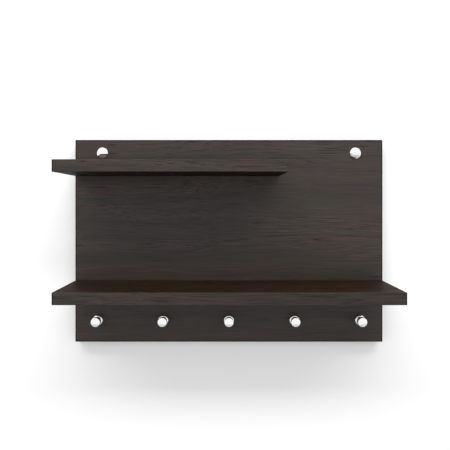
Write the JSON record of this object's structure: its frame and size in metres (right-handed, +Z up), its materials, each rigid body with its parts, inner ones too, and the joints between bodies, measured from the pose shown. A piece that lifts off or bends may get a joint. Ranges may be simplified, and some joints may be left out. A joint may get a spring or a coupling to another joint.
{
  "type": "wall key holder",
  "caption": "Wall key holder: a dark wood-grain back panel with a short upper shelf, a full-width lower shelf and a row of chromed pegs, held by two capped wall screws.",
  "frame": {"origin": "middle of the back panel's back face, where it lies on the wall", "axes": "+X to the right seen from the front, +Y into the wall, +Z up; the front faces -Y"},
  "size_m": [0.305, 0.103, 0.2004],
  "materials": {
    "wenge_laminate": "semi-matt wenge wood-grain laminate, grain along the panel's width",
    "chrome": "bright polished chrome plate",
    "zinc": "bright zinc-plated steel"
  },
  "bodies": {
    "root": {"back_panel": "wenge_laminate", "upper_shelf": "wenge_laminate", "lower_shelf": "wenge_laminate", "key_peg_1": "chrome", "key_peg_2": "chrome", "key_peg_3": "chrome", "key_peg_4": "chrome", "key_peg_5": "chrome", "screw_cap_left": "chrome", "screw_cap_right": "chrome", "wall_screw_left": "zinc", "wall_screw_right": "zinc", "peg_screw_1": "zinc", "peg_screw_2": "zinc", "peg_screw_3": "zinc", "peg_screw_4": "zinc", "peg_screw_5": "zinc", "upper_shelf_screw_1": "zinc", "upper_shelf_screw_2": "zinc", "lower_shelf_screw_1": "zinc", "lower_shelf_screw_2": "zinc", "lower_shelf_screw_3": "zinc"}
  },
  "joints": []
}
